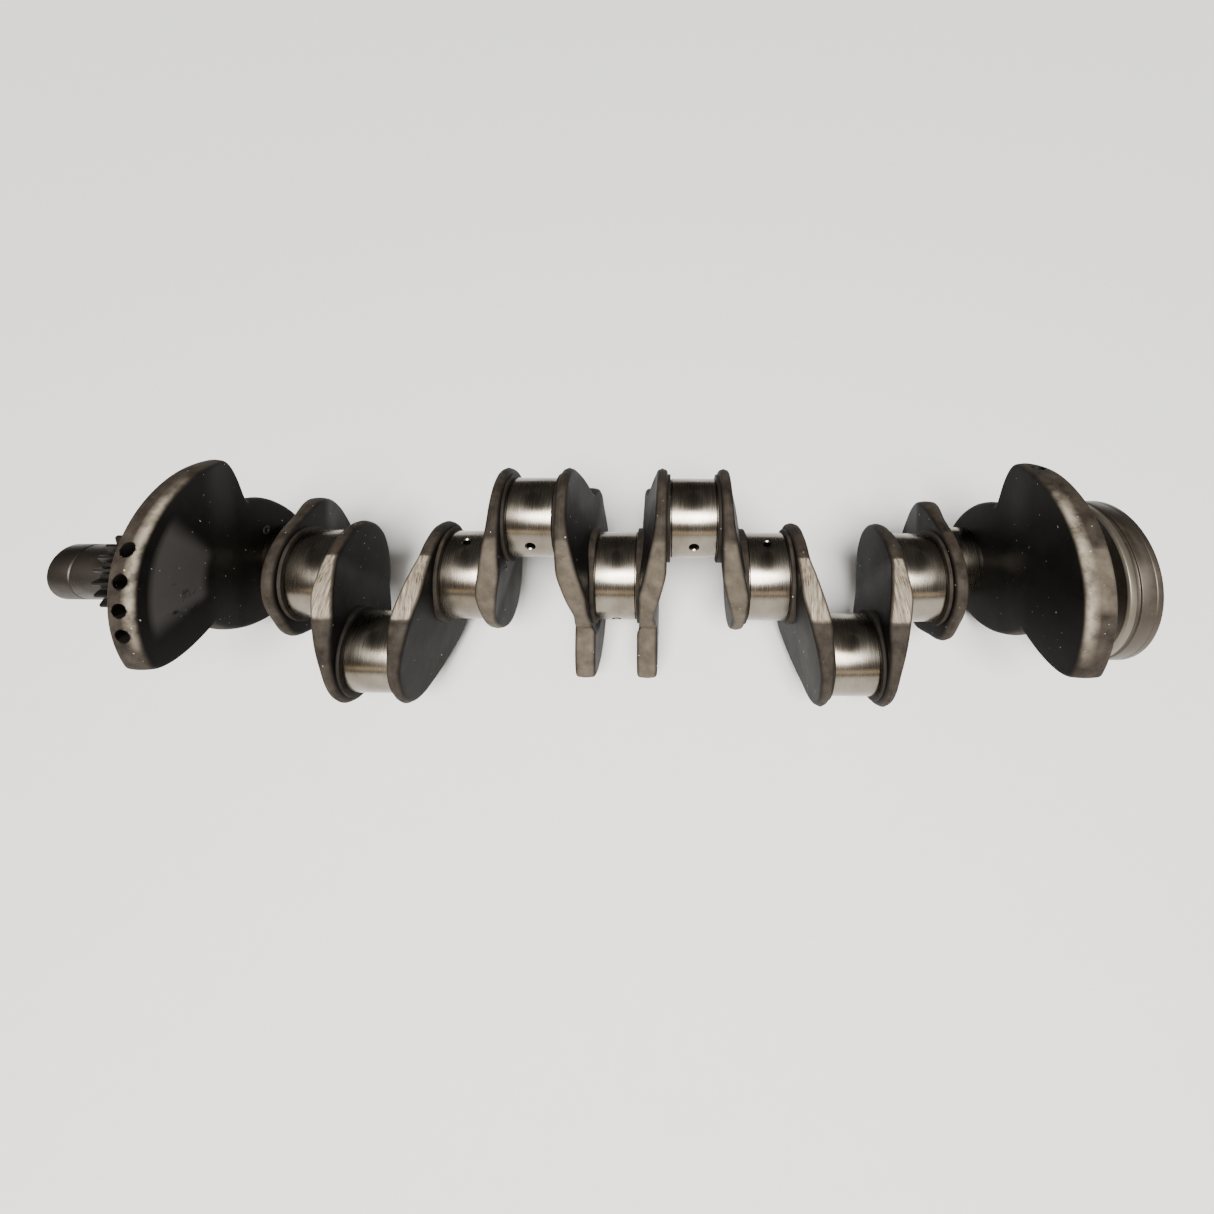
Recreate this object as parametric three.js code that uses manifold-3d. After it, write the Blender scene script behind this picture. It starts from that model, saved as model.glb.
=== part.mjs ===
// Forged crankshaft of an in-line six-cylinder diesel engine, lying on its side on a floor.
// Millimetres, +X from the nose to the flywheel flange, +Z up. The origin is on the axis of
// rotation, at the middle of the centre main journal.
import * as THREE from "three";
import { mergeVertices } from "three/addons/utils/BufferGeometryUtils.js";
import Module from "manifold-3d";

const wasm = await Module();
wasm.setup();

// ---- driving dimensions ----
const BORE_PITCH = 117.6; // one main journal to the next
const STROKE = 120;
const MAIN_R = 35;
const PIN_R = 30;
const MAIN_GROUND = 32; // ground length of a main journal
const PIN_GROUND = 36;
const FILLET = 2; // axial length of the fillet at each end of a journal
const FILLET_RISE = 1.5; // how far it climbs above the journal
const REAR_MAIN_HALF = 12; // the rear main journal runs into the flange

const REST_ANGLE = -41.25; // crankpins 1 and 6, in degrees from +Y towards +Z, as it lies on the floor
const PHASE = [0, 240, 120, 120, 240, 0]; // of each throw, after crankpin 1
const OIL_HOLE_R = 3.5;
const OIL_HOLE_DEPTH = 14;
const PIN_OIL_HOLE_ANGLE = 95; // from the throw's own direction
const MAIN_OIL_HOLE_PHASE = [0, 0, 120, 240, 120, 0, 0]; // after crankpin 1, from the nose

// Outline of a web: an ellipse, by its middle's distance from the main axis along the throw, and
// its half length and half width, with smooth bulges where the forging is fuller.
const OUTLINE = { middle: 27, half_length: 71, half_width: 52 };
const BULGE = { at: 62, rise: 7, spread: 24 }; // degrees from the crankpin, and mm
const LOW_BULGE = { at: -108, rise: 5, spread: 20 };

// Sections of a web along the throw, for the one on the nose side of its crankpin: [x, along]
// corners, X from the middle of the crankpin. It slants from the crankpin out to the main journal.
const SLANTING = [
  [-19, 100], [-19.6, 45], [-29.6, 2], [-30.2, -110],
  [-40.2, -110], [-40.2, 29], [-28.2, 78], [-27.4, 100],
];
const UPRIGHT = [[-19, 100], [-19.6, 40], [-22, -110], [-35.4, -110], [-35.4, 40], [-29, 100]];
const MAIN_COLLAR_R = 38;
const PIN_COLLAR_R = 33.5;

// Counterweights: rim radius, direction after the crankpin, half angle and the angle either way
// over which each shoulder drops to the web, then its span along X, and how far along the throw
// that span reaches.
const WEIGHTS = {
  front: { rim: 94.8, from_pin: 152, half: 69, shoulder: 13, span: [-35.4, -16], reach: 0, facets: 64 },
  rear: { rim: 96, from_pin: 152, half: 69, shoulder: 13, span: [-40.3, -18.4], reach: 0, facets: 64 },
  middle: { rim: 80.5, from_pin: 216, half: 89, shoulder: 10, span: [-42.8, -26.6], reach: 10, facets: 48 },
};

// The twelve webs, from the nose.
const END_WEB = { section: UPRIGHT, bulges: [BULGE] };
const WEBS = [
  { ...END_WEB, weight: WEIGHTS.front, rim_holes: [4.3, 17.2, 28.9, 39.8] },
  { section: SLANTING, bulges: [BULGE, LOW_BULGE] },
  { section: SLANTING, bulges: [] },
  { section: SLANTING, bulges: [BULGE] },
  { section: SLANTING, bulges: [] },
  { section: SLANTING, bulges: [], weight: WEIGHTS.middle },
  { section: SLANTING, bulges: [], weight: WEIGHTS.middle },
  { section: SLANTING, bulges: [] },
  { section: SLANTING, bulges: [BULGE] },
  { section: SLANTING, bulges: [] },
  { section: SLANTING, bulges: [BULGE, LOW_BULGE] },
  { ...END_WEB, weight: WEIGHTS.rear, rim_holes: [-47.5] },
];
const RIM_HOLE = { r: 5, depth: 18 }; // balance drillings, in degrees from the weight's middle

const NOSE_R = 22.4;
const NOSE_END = -445.5;
const NOSE_CHAMFER = 1.5;
const NOSE_BOLT_R = 7;
const NOSE_BOLT_DEPTH = 42;
const SHOULDER_R = 29;
const SHOULDER_W = 3.7;

const GEAR = { teeth: 22, tip_r: 36, root_r: 29.3, width: 22 };
const KEY = { length: 15, width: 6, top: 26.4, bottom: 18.4 };

const FLANGE_END = 391;
const FLANGE_R = 63.2;
const FLANGE_GROOVE_R = 61.6;
const FLANGE_CHAMFER = 1.2;
const FRONT_RING_W = 6;
const GROOVE_W = 4;
const BOLTS = 8;
const BOLT_CIRCLE_R = 48;
const BOLT_R = 6.5;
const BOLT_DEPTH = 18;
const DOWEL = { r: 5, sunk: 12, out: 8, after_bolt: 22.5 };

// Pilot bearing in the end of the crankshaft, a sealed deep-groove ball bearing.
const BEARING = { outer_r: 26, bore_r: 12.5, width: 15, balls: 9, ball_r: 3.6, pitch_r: 19.25 };
const BEARING_SET_IN = 2; // from the flange face
const OUTER_LAND_R = 22.2;
const INNER_LAND_R = 16.3;
const RACE_PLAY = 0.2; // between the balls and both races
const SEAL_T = 1.2;
const CAGE = { half_width: 2.2, half_height: 0.7 };

const PLUG = { r: 4, length: 8, proud: 0.8, along: 37, across: 28 }; // along and across the throw
const GAP = 0.15; // left round a piece that is pushed into another

const ROUND = 32; // facets of a journal
const COARSE = 24;

// ---- derived places ----
const THROW_R = STROKE / 2;
const SLAB_HALF = 110; // more than any web reaches
const HALF_PITCH = BORE_PITCH / 2;
const MAIN_HALF = MAIN_GROUND / 2 + FILLET;
const PIN_HALF = PIN_GROUND / 2 + FILLET;
const FIRST_MAIN_X = -PHASE.length * HALF_PITCH;
const LAST_MAIN_X = PHASE.length * HALF_PITCH;
const SHOULDER_X = FIRST_MAIN_X - MAIN_HALF - SHOULDER_W;
const GEAR_X = SHOULDER_X - GEAR.width;
const FLANGE_X = LAST_MAIN_X + REAR_MAIN_HALF;
const BEARING_X1 = FLANGE_END - BEARING_SET_IN;
const BEARING_X0 = BEARING_X1 - BEARING.width;
const BALL_X = (BEARING_X0 + BEARING_X1) / 2;
const rad = THREE.MathUtils.degToRad;

// ---- materials ----
function metal(color, roughness, metalness = 0.9) {
  return new THREE.MeshStandardMaterial({ color, roughness, metalness });
}
const forged = metal(0x3c3531, 0.6);
const ground = metal(0xbdb8ae, 0.22, 1);
const machined = metal(0x857d73, 0.4);
const hardware = metal(0x55504a, 0.45);
const race_steel = metal(0xc9c8c6, 0.2, 1);
const seal_rubber = metal(0x1b1a19, 0.8, 0);

// ---- solids ----
function signedVolume(geometry) {
  const { array } = geometry.index;
  const [a, b, c] = [new THREE.Vector3(), new THREE.Vector3(), new THREE.Vector3()];
  let sum = 0;
  for (let i = 0; i < array.length; i += 3) {
    a.fromBufferAttribute(geometry.attributes.position, array[i]);
    b.fromBufferAttribute(geometry.attributes.position, array[i + 1]);
    c.fromBufferAttribute(geometry.attributes.position, array[i + 2]);
    sum += a.dot(b.cross(c));
  }
  return sum;
}

// A closed geometry as a solid with its faces pointing out.
function solid(geometry) {
  const bare = geometry.clone();
  bare.deleteAttribute("normal");
  bare.deleteAttribute("uv");
  const merged = mergeVertices(bare, 1e-3);
  const triVerts = new Uint32Array(merged.index.array);
  if (signedVolume(merged) < 0) triVerts.reverse();
  const vertProperties = merged.attributes.position.array;
  return new wasm.Manifold(new wasm.Mesh({ numProp: 3, vertProperties, triVerts }));
}

function mesh(name, made, material) {
  const { vertProperties, triVerts } = made.getMesh();
  const geometry = new THREE.BufferGeometry();
  geometry.setAttribute("position", new THREE.BufferAttribute(vertProperties, 3));
  geometry.setIndex(new THREE.BufferAttribute(triVerts, 1));
  geometry.computeVertexNormals();
  const piece = new THREE.Mesh(geometry, material);
  piece.name = name;
  return piece;
}

// A body turned about X from [x, radius] points. A ring's profile closes on itself, and any
// other profile closes on the axis.
function turned(points, { ring = false, facets = ROUND } = {}) {
  const profile = points.map(([x, r]) => new THREE.Vector2(r, x));
  if (ring) {
    profile.push(profile[0].clone());
  } else {
    profile.unshift(new THREE.Vector2(0, points[0][0]));
    profile.push(new THREE.Vector2(0, points.at(-1)[0]));
  }
  return solid(new THREE.LatheGeometry(profile, facets).rotateZ(-Math.PI / 2));
}

// A plain round bar along X, off the axis by y and z.
function bar(x0, x1, r, { y = 0, z = 0, facets = ROUND } = {}) {
  const g = new THREE.CylinderGeometry(r, r, x1 - x0, facets).rotateZ(-Math.PI / 2);
  return solid(g.translate((x0 + x1) / 2, y, z));
}

// A drilled hole out from the axis at an angle about X, from +Y towards +Z.
function drilling(x, r0, r1, r, degrees) {
  const g = new THREE.CylinderGeometry(r, r, r1 - r0, 12).translate(x, (r0 + r1) / 2, 0);
  return solid(g.rotateX(rad(degrees)));
}

// A block between two corners.
function block(x0, x1, y0, y1, z0, z1) {
  const g = new THREE.BoxGeometry(x1 - x0, y1 - y0, z1 - z0);
  return solid(g.translate((x0 + x1) / 2, (y0 + y1) / 2, (z0 + z1) / 2));
}

// ---- journals ----
function journal(r, half, rear_half = half) {
  return turned([
    [-half, r + FILLET_RISE],
    [FILLET - half, r],
    [rear_half - FILLET, r],
    [rear_half, r + FILLET_RISE],
  ]);
}

function mainJournal(number) {
  const rear_half = number === 7 ? REAR_MAIN_HALF : MAIN_HALF;
  const phase = REST_ANGLE + MAIN_OIL_HOLE_PHASE[number - 1];
  const hole = drilling(0, MAIN_R - OIL_HOLE_DEPTH, MAIN_R + 1, OIL_HOLE_R, phase);
  const piece = mesh(`main_journal_${number}`, journal(MAIN_R, MAIN_HALF, rear_half).subtract(hole), ground);
  piece.position.x = FIRST_MAIN_X + (number - 1) * BORE_PITCH;
  return piece;
}

function crankpin(number) {
  const hole = drilling(0, PIN_R - OIL_HOLE_DEPTH, PIN_R + 1, OIL_HOLE_R, PIN_OIL_HOLE_ANGLE);
  const piece = mesh(`crankpin_${number}`, journal(PIN_R, PIN_HALF).subtract(hole), ground);
  piece.position.y = THROW_R;
  return piece;
}

// ---- webs ----
// Radius of a web's outline from the main axis, at an angle from the crankpin.
function plainRadius(angle, bulges) {
  const { middle: m, half_length: a, half_width: b } = OUTLINE;
  const [c, s] = [Math.cos(angle), Math.sin(angle)];
  const across = (b * c) ** 2 + (a * s) ** 2;
  const ellipse = (m * c * b * b + a * b * Math.sqrt((b * c) ** 2 + (a * a - m * m) * s * s)) / across;
  return bulges.reduce((r, { at, rise, spread }) => {
    return r + rise * Math.exp(-((degreesBetween(angle, at) / spread) ** 2));
  }, ellipse);
}

function degreesBetween(angle, degrees) {
  const turn = angle - rad(degrees);
  return THREE.MathUtils.radToDeg(Math.abs(Math.atan2(Math.sin(turn), Math.cos(turn))));
}

// The same outline with a counterweight, whose shoulders drop smoothly to the web.
function webRadius(angle, { bulges, weight }) {
  const plain = plainRadius(angle, bulges);
  if (!weight) return plain;
  const { rim, from_pin, half, shoulder } = weight;
  const off = degreesBetween(angle, from_pin);
  return rim + (plain - rim) * THREE.MathUtils.smoothstep(off, half - shoulder, half + shoulder);
}

// A prism across X with the web's outline, from x0 to x1.
function prism(spec, x0, x1) {
  const shape = new THREE.Shape();
  const facets = spec.weight ? spec.weight.facets : ROUND;
  for (let i = 0; i < facets; i++) {
    const a = (2 * Math.PI * i) / facets;
    const r = webRadius(a, spec);
    if (i === 0) shape.moveTo(r * Math.cos(a), r * Math.sin(a));
    else shape.lineTo(r * Math.cos(a), r * Math.sin(a));
  }
  const g = new THREE.ExtrudeGeometry(shape, { depth: x1 - x0, bevelEnabled: false });
  const [to_x, to_y, to_z] = [[0, 1, 0], [0, 0, 1], [1, 0, 0]].map((v) => new THREE.Vector3(...v));
  return g.applyMatrix4(new THREE.Matrix4().makeBasis(to_x, to_y, to_z)).translate(x0, 0, 0);
}

// A prism across Z with a web's section.
function slab(section) {
  const shape = new THREE.Shape(section.map(([x, along]) => new THREE.Vector2(x, along)));
  const depth = 2 * SLAB_HALF;
  return new THREE.ExtrudeGeometry(shape, { depth, bevelEnabled: false }).translate(0, 0, -SLAB_HALF);
}

// X of a web's face towards its crankpin, at a distance along the throw.
function pinFaceX(section, along) {
  const i = section.findIndex(([, a]) => a < along);
  const [[x0, a0], [x1, a1]] = [section[i - 1], section[i]];
  return x0 + ((x1 - x0) * (along - a0)) / (a1 - a0);
}

// The web on the nose side of a crankpin. The crankpin is along +Y, and X starts at its middle.
function web(spec, plugged) {
  const { section, weight, rim_holes = [] } = spec;
  const [main_face, pin_face] = [MAIN_HALF - HALF_PITCH, -PIN_HALF];
  const middle = (main_face + pin_face) / 2;
  let body = solid(prism(spec, -HALF_PITCH, 0)).intersect(solid(slab(section)));
  if (weight) {
    const half_space = block(-BORE_PITCH, 0, -SLAB_HALF, weight.reach, -SLAB_HALF, SLAB_HALF);
    body = body.add(solid(prism(spec, ...weight.span)).intersect(half_space));
  }
  body = body
    .add(bar(main_face, middle, MAIN_COLLAR_R, { facets: COARSE }))
    .add(bar(middle, pin_face, PIN_COLLAR_R, { y: THROW_R, facets: COARSE }))
    .subtract(bar(-HALF_PITCH, main_face, MAIN_COLLAR_R + 1, { facets: COARSE }))
    .subtract(bar(pin_face, 0, PIN_COLLAR_R + 1, { y: THROW_R, facets: COARSE }));
  for (const degrees of rim_holes) {
    const [r0, r1] = [weight.rim - RIM_HOLE.depth, weight.rim + 5];
    const x = (weight.span[0] + weight.span[1]) / 2;
    body = body.subtract(drilling(x, r0, r1, RIM_HOLE.r, weight.from_pin + degrees));
  }
  return plugged ? body.subtract(plugBar(section, GAP)) : body;
}

// The plug of an oil drilling, or with a clearance the pocket that it sits in.
function plugBar(section, clearance) {
  const face = pinFaceX(section, PLUG.along);
  const [x0, x1] = [face + PLUG.proud - PLUG.length, face + PLUG.proud];
  const at = { y: PLUG.along, z: PLUG.across, facets: 12 };
  return bar(x0 - clearance, x1 + 20 * clearance, PLUG.r + clearance, at);
}

// One throw: its crankpin, the web on each side and the plug of its oil drilling.
function crankThrow(number) {
  const group = new THREE.Group();
  group.position.x = (number - (PHASE.length + 1) / 2) * BORE_PITCH;
  group.rotation.x = rad(REST_ANGLE + PHASE[number - 1]);
  const nose_web = WEBS[2 * number - 2];
  const rear_piece = mesh(`crank_web_${2 * number}`, web(WEBS[2 * number - 1], false), forged);
  rear_piece.scale.x = -1; // built as a web on the nose side, so it is mirrored
  group.add(
    mesh(`crank_web_${2 * number - 1}`, web(nose_web, true), forged),
    rear_piece,
    crankpin(number),
    mesh(`oil_gallery_plug_${number}`, plugBar(nose_web.section, 0), hardware),
  );
  return group;
}

// ---- nose ----
function keyBlock(clearance) {
  const x1 = GEAR_X + (GEAR.width + KEY.length) / 2;
  const half = KEY.width / 2 + clearance;
  const [bottom, top] = [KEY.bottom - clearance, KEY.top + clearance];
  return block(x1 - KEY.length - clearance, x1 + clearance, bottom, top, -half, half);
}

function noseShaft() {
  const front = FIRST_MAIN_X - MAIN_HALF;
  return turned([
    [NOSE_END, NOSE_R - NOSE_CHAMFER],
    [NOSE_END + NOSE_CHAMFER, NOSE_R],
    [SHOULDER_X, NOSE_R],
    [SHOULDER_X, SHOULDER_R],
    [front, SHOULDER_R],
  ])
    .subtract(bar(NOSE_END - 1, NOSE_END + NOSE_BOLT_DEPTH, NOSE_BOLT_R, { facets: 20 }))
    .subtract(keyBlock(GAP));
}

function timingGear() {
  const outline = [];
  const step = (2 * Math.PI) / GEAR.teeth;
  for (let i = 0; i < GEAR.teeth; i++) {
    const tooth = [[-0.3, GEAR.root_r], [-0.13, GEAR.tip_r], [0.13, GEAR.tip_r], [0.3, GEAR.root_r]];
    for (const [share, r] of tooth) {
      const a = (i + share) * step;
      outline.push(new THREE.Vector2(r * Math.cos(a), r * Math.sin(a)));
    }
  }
  const shape = new THREE.Shape(outline);
  const g = new THREE.ExtrudeGeometry(shape, { depth: GEAR.width, bevelEnabled: false });
  const blank = solid(g.rotateY(Math.PI / 2).translate(GEAR_X, 0, 0));
  const bore = bar(GEAR_X - 1, SHOULDER_X + 1, NOSE_R + GAP);
  return blank.subtract(bore).subtract(keyBlock(GAP));
}

// ---- flywheel flange ----
function aroundFlange(count, make) {
  return Array.from({ length: count }, (_, i) => make((360 * i) / count));
}

function flywheelFlange() {
  const [ring_x, groove_x] = [FLANGE_X + FRONT_RING_W, FLANGE_X + FRONT_RING_W + GROOVE_W];
  let body = turned([
    [FLANGE_X, FLANGE_R - FLANGE_CHAMFER],
    [FLANGE_X + FLANGE_CHAMFER, FLANGE_R],
    [ring_x, FLANGE_R],
    [ring_x, FLANGE_GROOVE_R],
    [groove_x, FLANGE_GROOVE_R],
    [groove_x, FLANGE_R],
    [FLANGE_END - FLANGE_CHAMFER, FLANGE_R],
    [FLANGE_END, FLANGE_R - FLANGE_CHAMFER],
  ], { facets: 48 });
  body = body.subtract(bar(BEARING_X0 - GAP, FLANGE_END + 1, BEARING.outer_r + GAP));
  for (const hole of aroundFlange(BOLTS, boltHole)) body = body.subtract(hole);
  return body.subtract(dowelBar(GAP));
}

function boltHole(degrees) {
  const [y, z] = [BOLT_CIRCLE_R * Math.cos(rad(degrees)), BOLT_CIRCLE_R * Math.sin(rad(degrees))];
  return bar(FLANGE_END - BOLT_DEPTH, FLANGE_END + 1, BOLT_R, { y, z, facets: 12 });
}

function dowelBar(clearance) {
  const a = rad(DOWEL.after_bolt);
  const at = { y: BOLT_CIRCLE_R * Math.cos(a), z: BOLT_CIRCLE_R * Math.sin(a), facets: 12 };
  return bar(FLANGE_END - DOWEL.sunk - clearance, FLANGE_END + DOWEL.out, DOWEL.r + clearance, at);
}

// ---- pilot bearing ----
// Half of a race's profile, from one edge of the groove to the other: an arc round the ball.
function grooveArc(sign) {
  const arc_r = BEARING.ball_r + RACE_PLAY;
  const reach = sign > 0 ? OUTER_LAND_R - BEARING.pitch_r : BEARING.pitch_r - INNER_LAND_R;
  const half = Math.acos(reach / arc_r);
  return [-1, -0.5, 0, 0.5, 1].map((t) => [
    BALL_X + arc_r * Math.sin(t * half),
    BEARING.pitch_r + sign * arc_r * Math.cos(t * half),
  ]);
}

function outerRace() {
  return turned([
    [BEARING_X0, BEARING.outer_r],
    [BEARING_X1, BEARING.outer_r],
    [BEARING_X1, OUTER_LAND_R],
    ...grooveArc(1).reverse(),
    [BEARING_X0, OUTER_LAND_R],
  ], { ring: true, facets: COARSE });
}

function innerRace() {
  return turned([
    [BEARING_X0, BEARING.bore_r],
    [BEARING_X0, INNER_LAND_R],
    ...grooveArc(-1),
    [BEARING_X1, INNER_LAND_R],
    [BEARING_X1, BEARING.bore_r],
  ], { ring: true, facets: COARSE });
}

function ballCage() {
  const { half_width: w, half_height: h } = CAGE;
  const corners = [[-w, -h], [-w, h], [w, h], [w, -h]];
  const ring = corners.map(([x, r]) => [BALL_X + x, BEARING.pitch_r + r]);
  let body = turned(ring, { ring: true });
  for (const degrees of aroundFlange(BEARING.balls, (d) => d)) {
    const ball = new THREE.SphereGeometry(BEARING.ball_r, 8, 6).rotateZ(-Math.PI / 2);
    ball.translate(BALL_X, BEARING.pitch_r, 0).rotateX(rad(degrees));
    body = body.add(solid(ball));
  }
  return body;
}

function bearingSeal(x0) {
  const [outer, inner] = [OUTER_LAND_R - GAP, INNER_LAND_R + 2 * GAP];
  const x1 = x0 + SEAL_T;
  return turned([[x0, inner], [x0, outer], [x1, outer], [x1, inner]], { ring: true, facets: COARSE });
}

// ---- the crankshaft ----
const crankshaft = new THREE.Group();
for (let number = 1; number <= PHASE.length + 1; number++) crankshaft.add(mainJournal(number));
for (let number = 1; number <= PHASE.length; number++) crankshaft.add(crankThrow(number));

const ends = new THREE.Group();
ends.rotation.x = rad(REST_ANGLE); // the keyway and the dowel are set from crankpin 1
ends.add(
  mesh("nose_shaft", noseShaft(), machined),
  mesh("timing_gear", timingGear(), hardware),
  mesh("gear_key", keyBlock(0), hardware),
  mesh("flywheel_flange", flywheelFlange(), machined),
  mesh("flywheel_dowel", dowelBar(0), hardware),
  mesh("pilot_bearing_outer_ring", outerRace(), race_steel),
  mesh("pilot_bearing_inner_ring", innerRace(), race_steel),
  mesh("pilot_bearing_ball_cage", ballCage(), race_steel),
  mesh("pilot_bearing_front_seal", bearingSeal(BEARING_X0 + 2 * GAP), seal_rubber),
  mesh("pilot_bearing_rear_seal", bearingSeal(BEARING_X1 - SEAL_T - 2 * GAP), seal_rubber),
);
crankshaft.add(ends);

export default crankshaft;
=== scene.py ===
"""Looks of a forged six-throw crankshaft that lies on a pale floor.

Sizes of the shaft are in millimetres, and MM turns them into Blender's metres.
"""

import math

import bmesh
import bpy
import numpy as np
from mathutils import Matrix, Vector


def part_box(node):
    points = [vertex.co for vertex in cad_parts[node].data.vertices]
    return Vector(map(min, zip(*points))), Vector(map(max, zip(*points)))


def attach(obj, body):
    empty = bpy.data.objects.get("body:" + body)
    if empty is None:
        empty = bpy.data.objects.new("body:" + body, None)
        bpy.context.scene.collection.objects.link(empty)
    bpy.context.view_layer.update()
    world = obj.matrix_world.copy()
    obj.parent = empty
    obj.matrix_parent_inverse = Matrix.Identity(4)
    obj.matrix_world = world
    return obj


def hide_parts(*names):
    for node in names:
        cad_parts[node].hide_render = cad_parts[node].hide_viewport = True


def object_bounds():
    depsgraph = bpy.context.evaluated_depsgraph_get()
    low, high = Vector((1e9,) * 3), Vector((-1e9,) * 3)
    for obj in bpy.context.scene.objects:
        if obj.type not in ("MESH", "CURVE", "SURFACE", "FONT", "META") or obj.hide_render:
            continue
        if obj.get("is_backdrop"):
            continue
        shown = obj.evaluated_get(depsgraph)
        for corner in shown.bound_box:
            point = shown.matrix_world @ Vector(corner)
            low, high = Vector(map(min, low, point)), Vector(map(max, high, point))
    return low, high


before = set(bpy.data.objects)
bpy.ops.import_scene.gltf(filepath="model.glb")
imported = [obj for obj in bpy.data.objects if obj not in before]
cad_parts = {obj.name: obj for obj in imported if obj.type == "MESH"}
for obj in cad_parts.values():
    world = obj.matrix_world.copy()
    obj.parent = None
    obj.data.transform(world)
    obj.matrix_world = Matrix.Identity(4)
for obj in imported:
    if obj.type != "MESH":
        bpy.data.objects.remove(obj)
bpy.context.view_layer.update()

MM = 0.001
ROOT = "crankshaft"
THROWS = 6

# ---- sizes in millimetres ----
MAIN_R, PIN_R = 34.95, 29.95
GROUND_MAIN_HALF, GROUND_PIN_HALF = 14.9, 15.9  # from a journal's middle to the end of its ground face
MAIN_HALF, PIN_HALF = 18.4, 20  # and to its end inside the web, past the undercut
LAST_MAIN_REAR = 12  # the last main journal meets the flange here, with no undercut
GROOVE_DEPTH, GROOVE_WIDTH = 0.6, 1.1
MAIN_COLLAR_R, PIN_COLLAR_R = 37.9, 33.3
MAIN_COLLAR_FOOT, PIN_COLLAR_FOOT = 33.0, 24  # from the pin's middle to each collar's end inside the web
LAST_COLLAR_TO_MAIN = 14  # from the last main journal's middle to the collar in front of it
OIL_HOLE_R, OIL_HOLE_FLARE_R, OIL_HOLE_DEPTH = 2.9, 3.9, 13
PIN_OIL_ANGLE = 95  # degrees from the throw
MAIN_OIL_PHASE = (0, 0, 120, 240, 120, 0, 0)  # degrees from the first throw
RIM_HOLE_R, RIM_HOLE_FLARE_R, RIM_HOLE_DEPTH = 4.9, 5.5, 16
PLUG_R, DOWEL_R = 3.9, 4.9
KEY_WIDTH, KEY_HEIGHT = 5.9, 7.9
GEAR_TEETH, GEAR_TIP_R, GEAR_ROOT_R, GEAR_BORE_R = 22, 35.8, 29.3, 22.4
BOLT_HOLES, BOLT_HOLE_R, BOLT_CIRCLE_R = 8, 6.4, 48
BALLS, BALL_R, BALL_CIRCLE_R = 9, 3.55, 19.25
GROOVE_R = 3.75  # of the races, a little over the radius of a ball

# A web's plain outline is an ellipse set off along the throw, with swellings: the degrees from the throw,
# the rise and the spread in degrees.
OUTLINE_MIDDLE, OUTLINE_LONG, OUTLINE_WIDE = 27.0, 70.4, 51.8
BULGE = (62, 7, 24)
LOW_BULGE = (-108, 5, 20)
EDGE = 3.0  # rounding where a face meets the rim
CROWN = 0.6  # how far the middle of a rim stands over its edges
STREAK = 0.0042  # spread of the shear marks over a trimmed rim

# Places along the throw, and there the distance from the middle of the crankpin to each face of a web.
SLANT_PIN = ((-110, 30.2), (0, 29.8), (46, 19.6), (100, 19.0))
SLANT_OUT = ((-110, 40.2), (28, 40.0), (79, 28.1), (100, 26.6))
UPRIGHT_PIN = ((-110, 22.0), (40, 19.6), (100, 19.0))
UPRIGHT_OUT = ((-110, 35.3), (40, 35.2), (100, 28.6))

# Counterweights: at is the middle of the rim and half its half-width, both in degrees.
FRONT_WEIGHT = dict(rim=93.8, at=152, half=69, shoulder=13, pin_face=16.1, out_face=35.3, reach=0)
REAR_WEIGHT = dict(rim=94.8, at=152, half=69, shoulder=13, pin_face=18.5, out_face=40.2, reach=0)
MID_WEIGHT = dict(rim=80.2, at=216, half=89, shoulder=10, pin_face=26.8, out_face=42.6, reach=10)

SIDES = 320  # points round a web's outline
RINGS = 30  # rings across each of its faces
RIM_STEPS = 7  # bands across its rim
PIN_SIDE, OUT_SIDE = 0, 1  # its two faces, as face_distances gives them


def box_mid(node):
    """Middle of a node's box, in metres."""
    low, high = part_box(node)
    return (low + high) / 2


def smooth(x, low, high):
    """0 below low, 1 above high, and a smooth step between."""
    t = np.clip((x - low) / (high - low), 0, 1)
    return t * t * (3 - 2 * t)


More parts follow.
